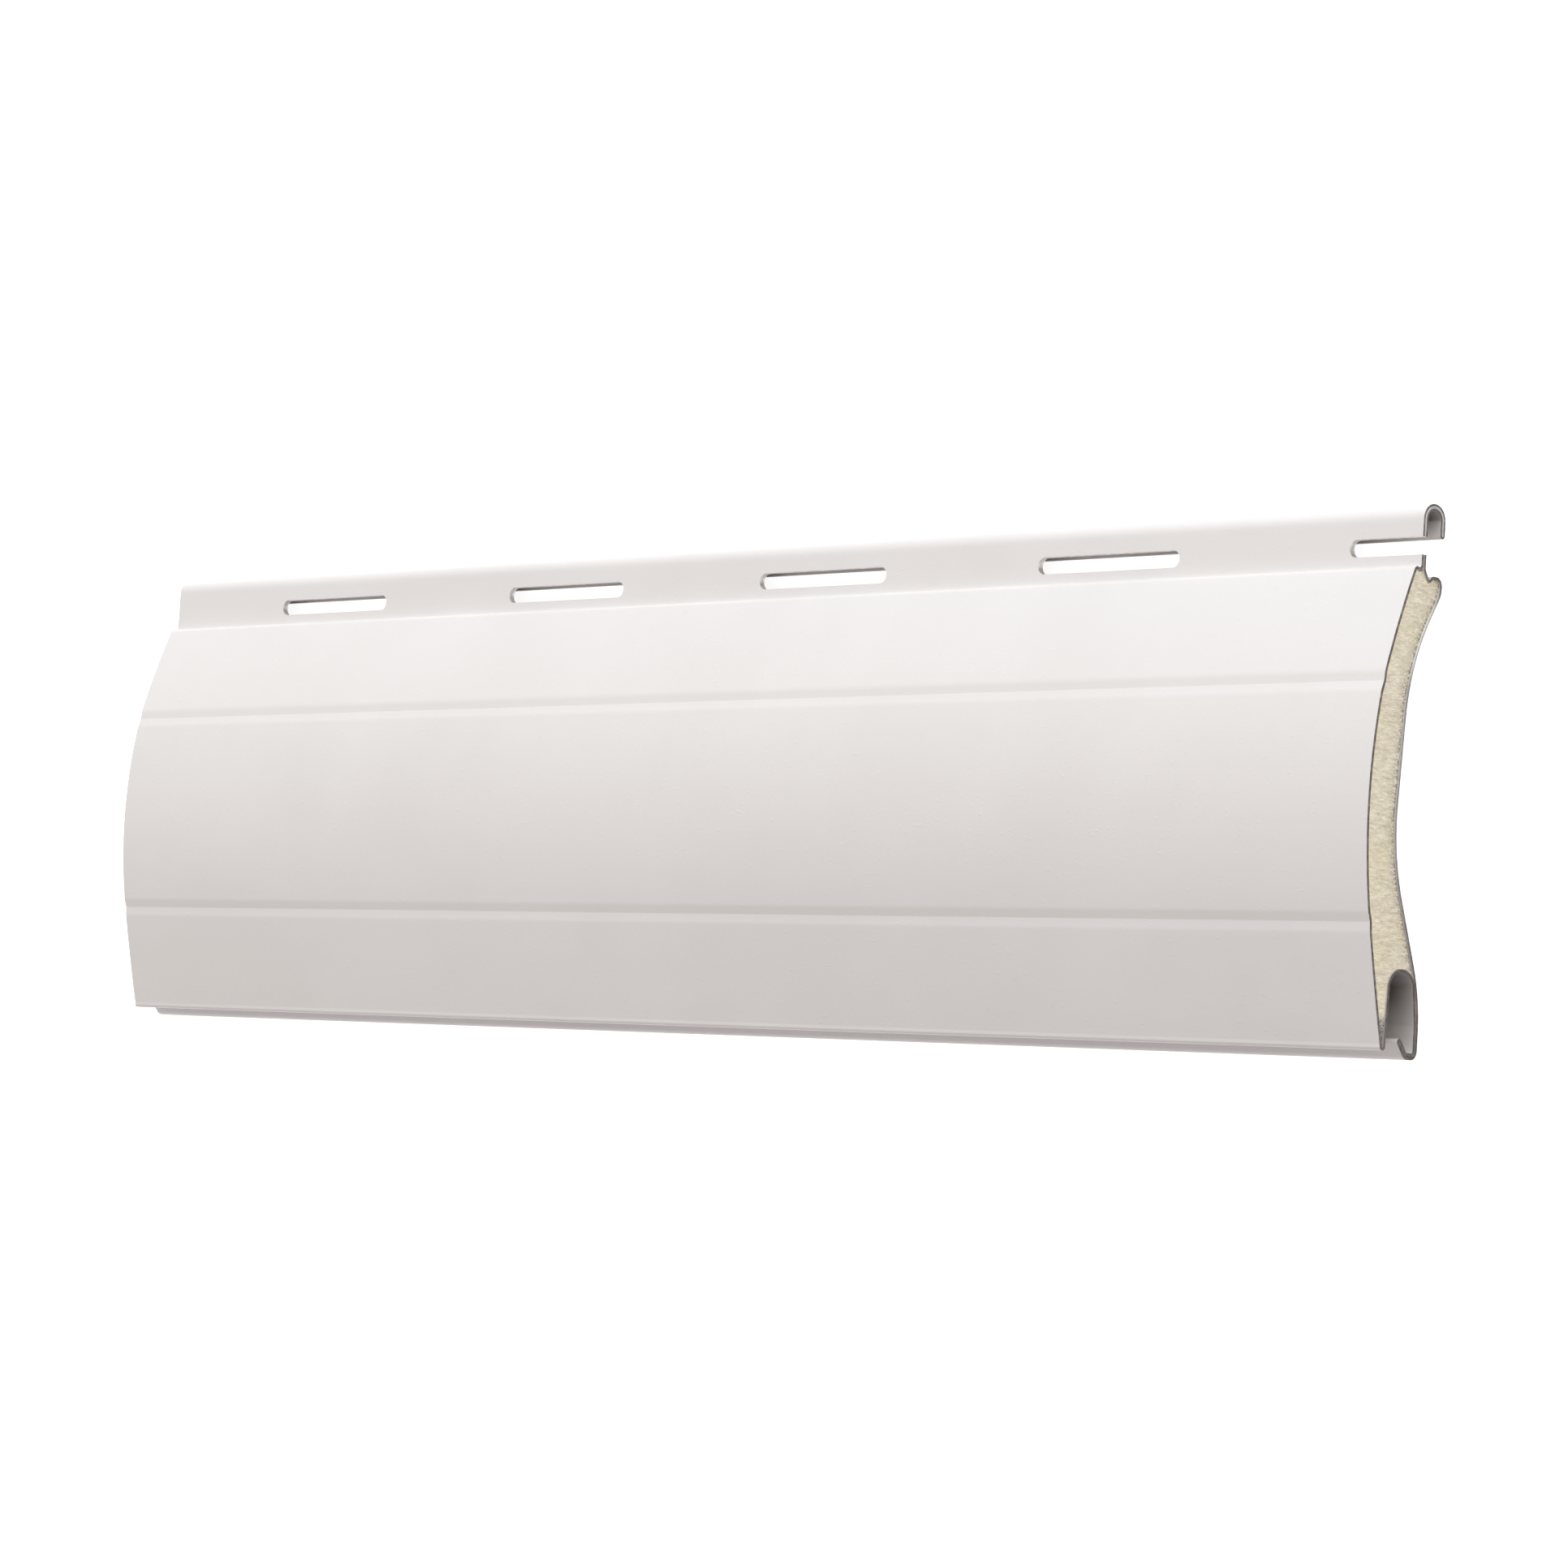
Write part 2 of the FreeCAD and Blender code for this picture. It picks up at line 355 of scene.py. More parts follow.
# %% Columns along the slat and the half height of the slots
slot_count = int((slat_length - first_slot_start) / slot_pitch) + 1
slot_starts = first_slot_start + slot_pitch * np.arange(slot_count)
slot_radius = slot_width / 2
columns_between, columns_round_end, columns_inside = 8, 7, 6
least_half_height = 0.01


def slot_half_height(along):
    """Half height of the slot at each place along the slat: sqrt(r^2 - d^2) at its ends."""
    from_centre = np.abs(along[:, None] - (slot_starts + slot_length / 2)[None, :]).min(axis=1)
    past = np.clip(from_centre - (slot_length / 2 - slot_radius), 0, slot_radius)
    return np.sqrt(np.maximum(slot_radius ** 2 - past ** 2, 0))


end_steps = slot_radius * (1 - np.cos(np.linspace(0, math.pi / 2, columns_round_end)))
column_groups = [[0.0, slat_length]]
for start in slot_starts:
    end = start + slot_length
    column_groups.append(np.linspace(start + slot_length - slot_pitch, start, columns_between)[1:])
    column_groups.append(start + end_steps)
    column_groups.append(np.linspace(start + slot_radius, end - slot_radius, columns_inside))
    column_groups.append(end - end_steps)
columns = np.unique(np.round(np.concatenate(column_groups), 5))
columns = columns[(columns >= 0) & (columns <= slat_length)]
half_heights = slot_half_height(columns)
half_heights[half_heights < least_half_height] = 0
print("columns along the slat:", len(columns), "of them in slots:", int((half_heights > 0).sum()))

# %% [markdown]
# ## Thin sheet is never quite flat
# Rolled strip keeps a very slight wave, and the foam pulls it in a little in places. It is a
# few hundredths of a millimetre, but it is what makes the reflections on the real one soft
# and uneven. A smooth random field does it: random heights on a coarse lattice, with a
# smoothstep between them. It only moves the sheet inwards, so the slat keeps its box.


# %% A smooth random field
lattice_size = 512
lattice_shift = (97.3, 61.7)


def smooth_field(across, up, cell_across, cell_up, seed):
    """Random heights from 0 to 1 on a lattice, joined by smoothstep in both directions."""
    lattice = np.random.default_rng(seed).random((lattice_size, lattice_size))
    a, b = across / cell_across + lattice_shift[0], up / cell_up + lattice_shift[1]
    i, j = np.floor(a).astype(int), np.floor(b).astype(int)
    s, t = a - i, b - j
    s, t = s * s * (3 - 2 * s), t * t * (3 - 2 * t)
    i0, j0, i1, j1 = i % lattice_size, j % lattice_size, (i + 1) % lattice_size, (j + 1) % lattice_size
    low = lattice[i0, j0] * (1 - s) + lattice[i1, j0] * s
    high = lattice[i0, j1] * (1 - s) + lattice[i1, j1] * s
    return low * (1 - t) + high * t


def sheet_waves(along, up):
    """A wide wave of 0.03 mm over 26 by 11 mm, and a finer one of 0.012 mm over 9 by 4 mm."""
    return 0.03 * smooth_field(along, up, 26, 11, 3) + 0.012 * smooth_field(along, up, 9, 4, 8)


sample = sheet_waves(columns, np.full(len(columns), cover_height / 2))
print("waves at half height, least and most in mm:", round(sample.min(), 3), round(sample.max(), 3))


# %% Helper: a closed mesh from arrays
merge_distance = 4e-7


def closed_piece(name, vertices, faces, finish, smooth_angle, **marks):
    """Object at the origin from places in mm, with doubles merged and faces turned outwards.

    Each mark is a number per place, which a finish reads as an attribute.
    """
    mesh = bpy.data.meshes.new(name)
    mesh.from_pydata((vertices * MM).tolist(), [], faces.tolist())
    mesh.polygons.foreach_set("material_index", finish.astype(np.int32))
    for mark, values in marks.items():
        mesh.attributes.new(mark, "FLOAT", "POINT").data.foreach_set("value", values.astype(np.float32))
    work = bmesh.new()
    work.from_mesh(mesh)
    bmesh.ops.remove_doubles(work, verts=work.verts, dist=merge_distance)
    bmesh.ops.recalc_face_normals(work, faces=work.faces)
    open_edges = sum(1 for edge in work.edges if len(edge.link_faces) != 2)
    if work.calc_volume(signed=True) < 0:
        bmesh.ops.reverse_faces(work, faces=work.faces)
    volume = round(work.calc_volume() / MM ** 3, 1)
    print(name, "faces", len(work.faces), "open edges", open_edges, "volume in mm3", volume)
    work.to_mesh(mesh)
    work.free()
    mesh.shade_smooth()
    mesh.set_sharp_from_angle(angle=math.radians(smooth_angle))
    piece = bpy.data.objects.new(name, mesh)
    bpy.context.scene.collection.objects.link(piece)
    return piece


def grid_faces(first, rows, count):
    """Quads of a grid whose vertices are numbered row by row, for the given rows."""
    row, column = np.meshgrid(rows, np.arange(count - 1), indexing="ij")
    corner = first + row * count + column
    return np.stack([corner, corner + 1, corner + count + 1, corner + count], -1).reshape(-1, 4)


# %% [markdown]
# ## The painted aluminium strip
# One strip makes the whole section, so one mesh does: the bend line carried along the
# slat, once as the painted face and once moved in by the strip's thickness. The saw has
# left bare metal at both ends and the punch has left it round the slots, and those faces
# are a second finish. The CAD skin is the same shape, but its triangles are coarse for a
# satin paint, where each facet would show.


# %% The strip's two faces as grids that are open at the slots
neck_depth = 2.4
wave_low, wave_high, wave_fade = 2.0, cover_height - 1, 3


def opened(places, row_side):
    """Heights of a grid with the slots open. Below a slot h' = low + (h - low) * share."""
    height = np.repeat(places[:, :1], len(columns), axis=1)
    below = (slot_centre - half_heights - neck_low) / (slot_centre - neck_low)
    above = (neck_high - slot_centre - half_heights) / (neck_high - slot_centre)
    lowered = neck_low + (height - neck_low) * below
    raised = neck_high - (neck_high - height) * above
    return np.where(row_side[:, None] < 0, lowered, np.where(row_side[:, None] > 0, raised, height))


def sheet_grid(depth):
    """Places of one face of the strip: the line moved in by depth, for every column.

    The waves fade out towards the foot and the shoulder, where the section is stiff.
    """
    places = strip_line + depth * strip_inward
    row_height = strip_line[:, 0]
    wave_room = np.clip((row_height - wave_low) / wave_fade, 0, 1)
    wave_room *= np.clip((wave_high - row_height) / wave_fade, 0, 1)
    grid_x, grid_height = np.meshgrid(columns, row_height)
    wave = sheet_waves(grid_x, grid_height) * (wave_room * is_outer_skin)[:, None]
    height = opened(places, row_side) + wave * strip_inward[:, :1]
    up = np.repeat(places[:, 1:], len(columns), axis=1) + wave * strip_inward[:, 1:]
    return np.stack([grid_x - slat_length / 2, height - section_middle, up], -1).reshape(-1, 3)


row_count = len(strip_line)
in_neck = (strip_line[:, 0] > neck_low - 1e-9) & (strip_line[:, 0] < neck_high + 1e-9)
in_neck &= (strip_line[:, 1] > neck_depth) & (np.abs(strip_inward[:, 0]) < 1e-9)
double = np.flatnonzero(np.hypot(*np.diff(strip_line, axis=0).T) < 1e-9)
row_side = np.where(in_neck, np.sign(strip_line[:, 0] - slot_centre), 0.0)
rising_neck = strip_line[double, 1] > neck_back + sheet
row_side[double] = np.where(rising_neck, -1, 1)
row_side[double + 1] = np.where(rising_neck, 1, -1)
is_outer_skin = np.isin(strip_part, ["front", "back"]).astype(float)
print("double rows:", double, "rows of the outer skin:", int(is_outer_skin.sum()))

# %% Faces of the strip: both grids, their rims and the slots' walls
column_count = len(columns)
painted = sheet_grid(0.0)
bare = sheet_grid(sheet)
bare_first = len(painted)
solid_rows = np.setdiff1d(np.arange(row_count - 1), double)
painted_faces = grid_faces(0, solid_rows, column_count)
bare_faces = grid_faces(bare_first, solid_rows, column_count)[:, ::-1]


def rim(row_a, column_a, row_b, column_b):
    """Quads between the painted and the bare face, along an edge given by its two ends."""
    a, b = row_a * column_count + column_a, row_b * column_count + column_b
    return np.stack([a, a + bare_first, b + bare_first, b], -1)


last_row, last_column = row_count - 1, column_count - 1
left_end = rim(solid_rows, 0 * solid_rows, solid_rows + 1, 0 * solid_rows)
right_end = rim(solid_rows + 1, 0 * solid_rows + last_column, solid_rows, 0 * solid_rows + last_column)
along = np.arange(last_column)
first_edge = rim(0 * along, along + 1, 0 * along, along)
second_edge = rim(0 * along + last_row, along, 0 * along + last_row, along + 1)
open_here = np.flatnonzero((half_heights[:-1] > 0) | (half_heights[1:] > 0))
slot_walls = np.vstack([
    rim(row + 0 * open_here, open_here + flip, row + 0 * open_here, open_here + 1 - flip)
    for row, flip in [(double[0], 0), (double[0] + 1, 1), (double[1], 0), (double[1] + 1, 1)]
])
painted_group, sawn_group, punched_group = 0, 1, 2
face_groups = [(painted_faces, painted_group), (bare_faces, painted_group),
               (first_edge, painted_group), (second_edge, painted_group),
               (left_end, sawn_group), (right_end, sawn_group), (slot_walls, punched_group)]
skin_faces = np.vstack([faces for faces, group in face_groups])
skin_finish = np.concatenate([np.full(len(faces), group) for faces, group in face_groups])
print("faces of the strip:", len(skin_faces), "cut metal:", int((skin_finish > painted_group).sum()))

# %% [markdown]
# ### Where the cut edges and the paint differ
# A saw leaves a dark smeared edge. Where two sheets lie back to back the bare metal between
# them is partly lighter, and a painted highlight makes it a bright line for the light it
# catches; below the bead the cut edge has a painted highlight as well. The hollows of the
# channel and of the hook are darkened with painted shade. It could be painted by hand, but
# all of this goes with the place on the section, so it is worked out per row and kept as
# attributes: numbers that a finish can read.

# %% Places on the section where the look changes
height = strip_line[:, 0]
leg_end = hook_top - hook_leg
arch_first = np.flatnonzero(corner_part == "arch")[0]
hook_first = np.flatnonzero(corner_part == "hook")[0]
lip_first = np.flatnonzero(corner_part == "lip")[0]
# Corners are counted within their part. Up to the arch's number 3 and from the lip's number 3
# the strip faces the channel's hollow, and from the hook's number 5 to 7 it faces the hook's.
inside_channel = (strip_corner - arch_first <= 3) | (strip_corner - lip_first >= 3)
inside_hook = np.isin(strip_corner - hook_first, [5, 6])
inside_hook |= (strip_corner - hook_first == 7) & (height > leg_end)
arch_leg_straight = channel_top - 1.5
beside_wall = (strip_corner - arch_first <= 1) & (height < arch_leg_straight)
beside_wall |= (strip_part == "lip") & (strip_corner == lip_first) & (height > 0)
print("rows in the channel:", int(inside_channel.sum()), "and in the hook:", int(inside_hook.sum()))

# %% Painted highlights and painted shade of each row
hook_line, neck_line, folded_line = 1.0, 0.8, 0.68
rubbed_heights, rubbed_amounts = (8, 20, 34, 36, 41, 43), (0, 0.4, 0.4, 1, 1, 0)
channel_shade_height = 5.5
hook_shade_from, hook_shade_over, hook_shade_most = 0.42, 0.2, 1.3
# Painted highlight: how bright the line between back-to-back sheets is, per row; the bare metal there is
# partly lighter too.
hairline = np.where(height > slot_centre, hook_line, neck_line) * (strip_part == "hook")
hairline[beside_wall | (strip_corner - lip_first >= 1)] = folded_line
# Painted highlight on the back skin's cut edge, strongest just below the bead.
rubbed = np.interp(height, rubbed_heights, rubbed_amounts) * (strip_part == "back")
# Painted shade in the hollows: it grows up the channel and towards the top inside the hook.
up_channel = np.clip(height / channel_shade_height, 0, 1)
up_hook = np.clip(((height - leg_end) / hook_leg - hook_shade_from) / hook_shade_over, 0, 1)
hook_shade = hook_shade_most * up_hook ** 2 * (3 - 2 * up_hook)
dusty = np.where(inside_channel, up_channel, np.where(inside_hook, hook_shade, 0.0))
# Painted shade on the cut edges of the arch and the lip, set on their unpainted side.
dusty_edge = 0.6 * np.isin(strip_part, ["arch", "lip"])
print("rows with a hairline:", int((hairline > 0).sum()), "rubbed:", int((rubbed > 0.5).sum()),
      "dusty:", int((dusty > 0).sum()))


# %% The strip as one piece
def per_place(painted_values, bare_values):
    """Values per row, repeated for every column of the painted and of the bare face."""
    return np.repeat(np.r_[painted_values, bare_values], column_count)


skin = closed_piece(
    "painted_strip", np.vstack([painted, bare]), skin_faces, skin_finish, smooth_angle=32,
    hairline=per_place(0 * hairline, hairline), rubbed=per_place(0.2 * rubbed, rubbed),
    dusty=per_place(dusty, dusty_edge))
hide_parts("aluminium_skin")
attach(skin, "root")

# %% [markdown]
# ## The foam's sawn face
# The foam fills the space between the front and the back skin, and only its two sawn ends
# show. Saw teeth have torn it into fine fibres that run across the section, with small open
# cells, so those faces need real relief. A flat face with a bump would do from afar, but the
# end is the nearest thing in the picture. Each end is two patches, stretched between edges
# that come from the skins themselves, so that the foam reaches them everywhere.


# %% Edges of the foam, from the strip's own line
def resampled(line, count):
    """Places at even spacing along an open line of points."""
    run = np.r_[0, np.cumsum(np.hypot(*np.diff(line, axis=0).T))]
    even = np.linspace(0, run[-1], count)
    return np.column_stack([np.interp(even, run, line[:, 0]), np.interp(even, run, line[:, 1])])


def foam_edge(corners):
    """The strip's line moved in by its thickness and the foam's clearance."""
    places, inward, number = bend_line(corners)
    return places + (sheet + foam_clearance) * inward


arch = arch_corners()
hook = hook_corners()
front_edge = foam_edge([arch[3][:2] + (0,), arch[4]] + front_corners() + [hook[0][:2] + (0,)])
back_edge = foam_edge([hook[-1][:2] + (0,)] + back_corners() + [(0.0, 0.0, 0)])[::-1]
arch_edge = foam_edge([arch[0], arch[1], arch[2], arch[3][:2] + (0,)])
arch_summit = arch_edge[:, 0].argmax()
wall_edge = arch_edge[arch_summit:][::-1]
wedge_foot, sliver_lowest, sliver_width = 0.5, 6.0, 0.08
body_foot = arch_edge[arch_summit, 0]
shoulder_start = cover_height - 0.9
bead_start = cover_height - 2.2


def between(line, low, high):
    """Part of a line that rises in height, from one height to another."""
    inside = line[(line[:, 0] > low) & (line[:, 0] < high)]
    ends = [[h, np.interp(h, line[:, 0], line[:, 1])] for h in (low, high)]
    return np.vstack([ends[:1], inside, ends[1:]])


front_rising = front_edge[np.r_[True, np.diff(np.maximum.accumulate(front_edge[:, 0])) > 0]]
back_rising = back_edge[np.r_[True, np.diff(np.maximum.accumulate(back_edge[:, 0])) > 0]]
foam_top = front_edge[:, 0].max()
print("foam from", wedge_foot, "over", round(body_foot, 2), "to", round(foam_top, 2), "mm")


# %% Two patches stretched between four edges each
def patch(left, right, bottom, top):
    """Coons patch: the two ruled surfaces between opposite edges, less the one between corners."""
    t = np.linspace(0, 1, len(left))[:, None, None]
    v = np.linspace(0, 1, len(bottom))[None, :, None]
    across = (1 - v) * left[:, None] + v * right[:, None]
    along = (1 - t) * bottom[None] + t * top[None]
    corners = (1 - t) * ((1 - v) * left[0] + v * right[0]) + t * ((1 - v) * left[-1] + v * right[-1])
    return across + along - corners


wedge_rows, body_rows, wedge_columns, sliver_columns = 58, 290, 26, 34
wall = between(wall_edge, wedge_foot, body_foot)
wedge_right = between(front_rising, wedge_foot, body_foot)
summit_row = np.linspace(wall[-1], wedge_right[-1], wedge_columns)
wedge = patch(resampled(wall, wedge_rows), resampled(wedge_right, wedge_rows),
              np.linspace(wall[0], wedge_right[0], wedge_columns), summit_row)

over_arch = arch_edge[:arch_summit + 1]
clear_of_back = np.interp(over_arch[:, 0], back_rising[:, 0], back_rising[:, 1]) + sliver_width
over_arch = over_arch[(over_arch[:, 1] > clear_of_back) & (over_arch[:, 0] > sliver_lowest)]
sliver_foot = over_arch[0, 0]
body_bottom = np.vstack([resampled(over_arch, sliver_columns)[:-1], summit_row])
body_left = between(back_rising, sliver_foot, bead_start)
body_right = between(front_rising, body_foot, shoulder_start)
top_start = np.flatnonzero(back_edge[:, 0] > bead_start)[0]
front_last = np.flatnonzero(front_edge[:, 0] > shoulder_start)
top_line = np.vstack([body_left[-1:], back_edge[top_start:],
                      front_edge[front_last][::-1], body_right[-1:]])
body = patch(resampled(body_left, body_rows), resampled(body_right, body_rows),
             body_bottom, resampled(top_line, len(body_bottom)))
body[0] = body_bottom
print("sliver behind the arch from", round(sliver_foot, 2), "mm; patches", wedge.shape, body.shape)


# %% Relief of a sawn end: fibres, tufts and open cells
least_depth, fibre_relief, tuft_relief, cell_relief = 0.04, 0.07, 0.03, 0.06
open_cells_above = 0.8


def sawn_depth(height, depth, seed):
    """How far the sawn face lies behind the cut plane, in mm: least + fibres + tufts + cells.

    Fibres are longer across the section than up it. A cell is open where its field is high.
    """
    long_fibre = smooth_field(depth, height, 1.1, 0.16, seed)
    short_fibre = smooth_field(depth, height, 0.45, 0.11, seed + 1)
    fibre = long_fibre * 0.5 + short_fibre * 0.5
    tuft = smooth_field(depth, height, 2.4, 0.9, seed + 2)
    cell_field = smooth_field(depth, height, 0.32, 0.2, seed + 3)
    cell = np.clip(cell_field - open_cells_above, 0, 1) * 5
    return least_depth + fibre_relief * (1 - fibre) + tuft_relief * tuft + cell_relief * cell


most_depth = least_depth + fibre_relief + tuft_relief + cell_relief
print("sawn faces lie", least_depth, "to", round(most_depth, 2), "mm behind the cut planes")


# %% Places of one sawn end, faces of the foam, and the piece
def foam_end(at, outward, seed):
    """Both patches of one end in 3-D, with the relief moved in from the cut plane."""
    flat = np.vstack([wedge.reshape(-1, 2), body.reshape(-1, 2)])
    x = at - outward * sawn_depth(flat[:, 0], flat[:, 1], seed)
    return np.column_stack([x - slat_length / 2, flat[:, 0] - section_middle, flat[:, 1]])


wedge_size = wedge.shape[0] * wedge.shape[1]
body_columns = body.shape[1]
end_size = wedge_size + body.shape[0] * body_columns
wedge_number = np.arange(wedge_size).reshape(wedge.shape[:2])
body_number = wedge_size + np.arange(body.shape[0] * body_columns).reshape(body.shape[:2])
rim_loop = np.r_[
    wedge_number[0], wedge_number[1:, -1], body_number[1:, -1], body_number[-1, -2::-1],
    body_number[-2::-1, 0], body_number[0, 1:sliver_columns - 1], wedge_number[:0:-1, 0],
]
rim_next = np.roll(rim_loop, -1)
end_faces = np.vstack([
    grid_faces(0, np.arange(wedge.shape[0] - 1), wedge_columns),
    grid_faces(wedge_size, np.arange(body.shape[0] - 1), body_columns),
])
side_faces = np.stack([rim_loop, rim_next, rim_next + end_size, rim_loop + end_size], -1)
foam_points = np.vstack([foam_end(0.0, -1, 20), foam_end(slat_length, 1, 40)])
foam_faces = np.vstack([end_faces, end_faces[:, ::-1] + end_size, side_faces])
foam = closed_piece("foam_filling", foam_points, foam_faces, np.zeros(len(foam_faces)), smooth_angle=50)
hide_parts("foam_core")
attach(foam, "root")

# %% [markdown]
# ## Finishes
# Four finishes show: the lacquer, the dark sawn edge of the strip, the cleaner wall of the
# punched slots, and the foam. Image textures could do it, but they would need a photograph
# of each. All four are a fine relief that may be stretched in one direction, with speckles,
# so those are two node groups, built once and placed in each material with its own values.


# %% A shared group for relief
def new_group(name, inputs, outputs):
    """Empty shader group with named value inputs and outputs."""
    group = bpy.data.node_groups.new(name, "ShaderNodeTree")
    for label, kind, value in inputs:
        socket = group.interface.new_socket(name=label, in_out="INPUT", socket_type=kind)
        socket.default_value = value
    for label in outputs:
        group.interface.new_socket(name=label, in_out="OUTPUT", socket_type="NodeSocketFloat")
    return group, group.nodes.new("NodeGroupInput"), group.nodes.new("NodeGroupOutput")


def noise(tree, vector, scale, detail, roughness):
    """A noise texture on a vector, and the socket with its value."""
    node = tree.nodes.new("ShaderNodeTexNoise")
    node.inputs["Detail"].default_value = detail
    node.inputs["Roughness"].default_value = roughness
    if hasattr(scale, "links"):
        tree.links.new(scale, node.inputs["Scale"])
    else:
        node.inputs["Scale"].default_value = scale
    tree.links.new(vector, node.inputs["Vector"])
    return node.outputs["Fac"]


def stretched_place(group, inside):
    """Object coordinates times the stretch that the group is given."""
    place = group.nodes.new("ShaderNodeTexCoord")
    stretch = group.nodes.new("ShaderNodeVectorMath")
    stretch.operation = "MULTIPLY"
    group.links.new(place.outputs["Object"], stretch.inputs[0])
    group.links.new(inside.outputs["Stretch"], stretch.inputs[1])
    return stretch.outputs[0]


def stretched_relief_group():
    """Two noises on coordinates that are stretched by a vector: a coarse and a fine one."""
    group, inside, outside = new_group("stretched_relief", [
        ("Stretch", "NodeSocketVector", (1, 1, 1)), ("Coarse", "NodeSocketFloat", 800),
        ("Fine", "NodeSocketFloat", 3000), ("Share of fine", "NodeSocketFloat", 0.4)], ["Height"])
    place = stretched_place(group, inside)
    coarse = noise(group, place, inside.outputs["Coarse"], 2, 0.5)
    fine = noise(group, place, inside.outputs["Fine"], 2, 0.6)
    mix = group.nodes.new("ShaderNodeMix")
    group.links.new(inside.outputs["Share of fine"], mix.inputs["Factor"])
    group.links.new(coarse, mix.inputs["A"])
    group.links.new(fine, mix.inputs["B"])
    group.links.new(mix.outputs["Result"], outside.inputs["Height"])
    return group


relief_group = stretched_relief_group()
print("shared group:", relief_group.name)


# %% A shared group for speckles
def speckle_group():
    """Mask that is 1 where a stretched noise is above a threshold, with a soft edge."""
    group, inside, outside = new_group("speckle", [
        ("Stretch", "NodeSocketVector", (1, 1, 1)), ("Scale", "NodeSocketFloat", 1200),
        ("From", "NodeSocketFloat", 0.6), ("To", "NodeSocketFloat", 0.7)], ["Mask"])
    spots = noise(group, stretched_place(group, inside), inside.outputs["Scale"], 3, 0.55)
    ramp = group.nodes.new("ShaderNodeMapRange")
    ramp.interpolation_type = "SMOOTHSTEP"
    group.links.new(spots, ramp.inputs["Value"])
    group.links.new(inside.outputs["From"], ramp.inputs["From Min"])
    group.links.new(inside.outputs["To"], ramp.inputs["From Max"])
    group.links.new(ramp.outputs["Result"], outside.inputs["Mask"])
    return group


speckles = speckle_group()
print("shared group:", speckles.name)


# %% Helpers that place the groups in a material
def new_material(name):
    """Material with a Principled shader: the material, its tree and the shader."""
    material = bpy.data.materials.new(name)
    material.use_nodes = True
    return material, material.node_tree, material.node_tree.nodes["Principled BSDF"]


def placed(tree, group, **values):
    """A group node with its own values, and its one output."""
    node = tree.nodes.new("ShaderNodeGroup")
    node.node_tree = group
    for label, value in values.items():
        node.inputs[label.replace("_", " ")].default_value = value
    return node.outputs[0]


def computed(tree, operation, first, second=None):
    """Result of a math node on sockets or numbers."""
    node = tree.nodes.new("ShaderNodeMath")
    node.operation = operation
    for socket, value in zip(node.inputs, (first, second)):
        if isinstance(value, float):
            socket.default_value = value
        elif value is not None:
            tree.links.new(value, socket)
    return node.outputs[0]


def mixed(tree, mask, first, second, strength=1.0):
    """Colour that goes from the first to the second where the mask is 1."""
    node = tree.nodes.new("ShaderNodeMix")
    node.data_type = "RGBA"
    colours = [s for s in node.inputs if s.type == "RGBA"]
    for socket, value in zip(colours, (first, second)):
        if isinstance(value, tuple):
            socket.default_value = (*value, 1)
        else:
            tree.links.new(value, socket)
    tree.links.new(computed(tree, "MULTIPLY", mask, strength), node.inputs["Factor"])
    return next(s for s in node.outputs if s.type == "RGBA")


def attribute(tree, name):
    """The value that a piece carries under this name."""
    node = tree.nodes.new("ShaderNodeAttribute")
    node.attribute_name = name
    return node.outputs["Fac"]


print("helpers for materials, groups and colours are ready")


# %% Helpers that work on masks and values
def stepped(tree, value, start, end):
    """Mask that rises smoothly from 0 to 1 as a value goes from start to end."""
    node = tree.nodes.new("ShaderNodeMapRange")
    node.interpolation_type = "SMOOTHSTEP"
    node.inputs["From Min"].default_value = start
    node.inputs["From Max"].default_value = end
    tree.links.new(value, node.inputs["Value"])
    return node.outputs["Result"]


def height_bump(tree, shader, height, distance):
    """Bump of a height socket into the shader's normal. Distance is in metres."""
    node = tree.nodes.new("ShaderNodeBump")
    node.inputs["Distance"].default_value = distance
    tree.links.new(height, node.inputs["Height"])
    tree.links.new(node.outputs["Normal"], shader.inputs["Normal"])


def deep_in(tree, depth, at_end, inside):
    """Value that goes from at_end on the sawn ends to inside, at a depth in metres behind them."""
    place = tree.nodes.new("ShaderNodeTexCoord")
    split = tree.nodes.new("ShaderNodeSeparateXYZ")
    node = tree.nodes.new("ShaderNodeMapRange")
    node.inputs["From Min"].default_value = slat_length / 2 * MM - depth
    node.inputs["From Max"].default_value = slat_length / 2 * MM
    node.inputs["To Min"].default_value = inside
    node.inputs["To Max"].default_value = at_end
    tree.links.new(place.outputs["Object"], split.inputs[0])
    tree.links.new(computed(tree, "ABSOLUTE", split.outputs["X"]), node.inputs["Value"])
    return node.outputs["Result"]


def ranged(tree, value, low, high):
    """A value from 0 to 1 spread over a new range."""
    node = tree.nodes.new("ShaderNodeMapRange")
    node.inputs["To Min"].default_value = low
    node.inputs["To Max"].default_value = high
    tree.links.new(value, node.inputs["Value"])
    return node.outputs["Result"]


print("helpers for masks, values and bumps are ready")
